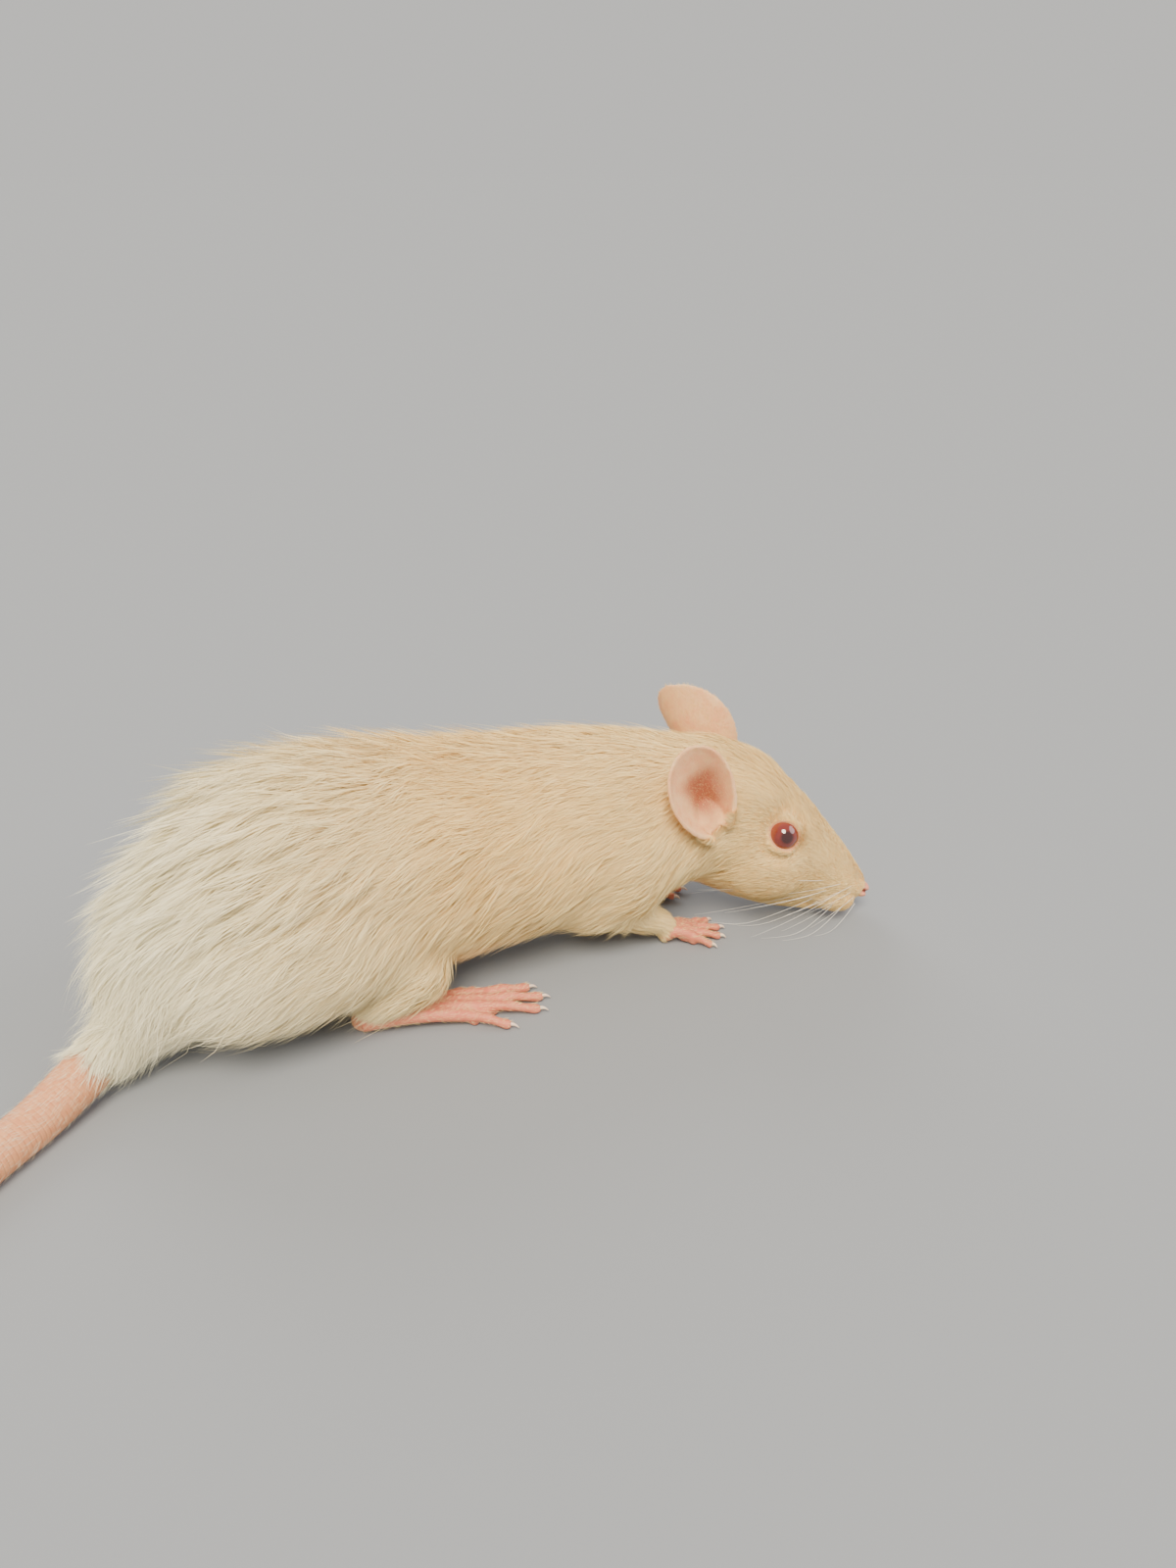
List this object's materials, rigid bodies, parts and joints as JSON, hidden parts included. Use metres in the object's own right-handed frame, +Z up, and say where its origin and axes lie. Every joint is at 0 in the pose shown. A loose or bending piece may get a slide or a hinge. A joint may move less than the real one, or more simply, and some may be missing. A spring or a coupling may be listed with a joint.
{
  "type": "white pet rat",
  "caption": "Still, life-size young white pet rat in short fur, low on all fours with its nose to the ground, the body curved to its right and a bare tail laid out behind.",
  "frame": {"origin": "middle of the bottom of the bounding box, on the ground under the rump", "axes": "+X the way the trunk faces, along the longest extent, +Y to the animal's left, +Z up"},
  "size_m": [0.2816, 0.1006, 0.0524],
  "materials": {
    "coat": "short matt fur",
    "bare_skin": "soft satin skin",
    "eye": "wet gloss"
  },
  "bodies": {
    "root": {"head": "coat", "neck": "coat", "trunk": "coat", "thigh_left": "coat", "thigh_right": "coat", "shank_left": "coat", "shank_right": "coat", "foreleg_left": "coat", "foreleg_right": "coat", "ear_left": "bare_skin", "ear_right": "bare_skin", "forepaw_left": "bare_skin", "forepaw_right": "bare_skin", "hind_foot_left": "bare_skin", "hind_foot_right": "bare_skin", "tail_base": "bare_skin", "tail_middle": "bare_skin", "tail_end": "bare_skin", "tail_tip": "bare_skin", "eye_left": "eye", "eye_right": "eye"}
  },
  "joints": []
}
